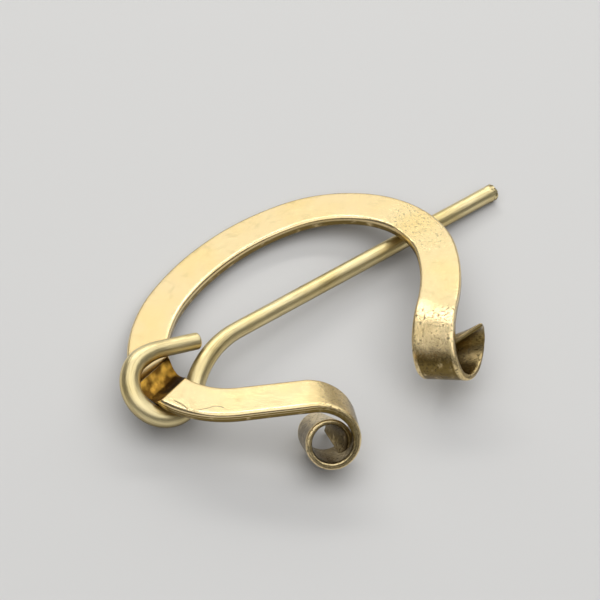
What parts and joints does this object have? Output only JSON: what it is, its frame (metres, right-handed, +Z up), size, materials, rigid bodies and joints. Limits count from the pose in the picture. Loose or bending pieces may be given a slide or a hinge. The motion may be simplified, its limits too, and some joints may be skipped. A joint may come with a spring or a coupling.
{
  "type": "ring brooch",
  "caption": "Open ring brooch: a flat brass bar bent into a horseshoe with rolled scroll ends, and a wire pin looped loosely round it.",
  "frame": {"origin": "middle of the brooch's bounding box, on the table it lies on", "axes": "+X along the pin's shaft towards its tip, +Y towards the back of the ring, +Z up from the table"},
  "size_m": [0.0604, 0.0382, 0.0107],
  "materials": {
    "ring": "polished, lightly worn",
    "pin": "polished, drawn wire"
  },
  "bodies": {
    "ring": {"ring": "ring"},
    "pin": {"pin": "pin"}
  },
  "joints": [
    {"name": "pin_swing", "type": "hinge", "parent": "ring", "child": "pin", "pos_m": [-0.02484, 0.00278, 0.00486], "axis": [-0.186, -0.3984, 0.8982], "range_deg": [-85, 0]}
  ]
}
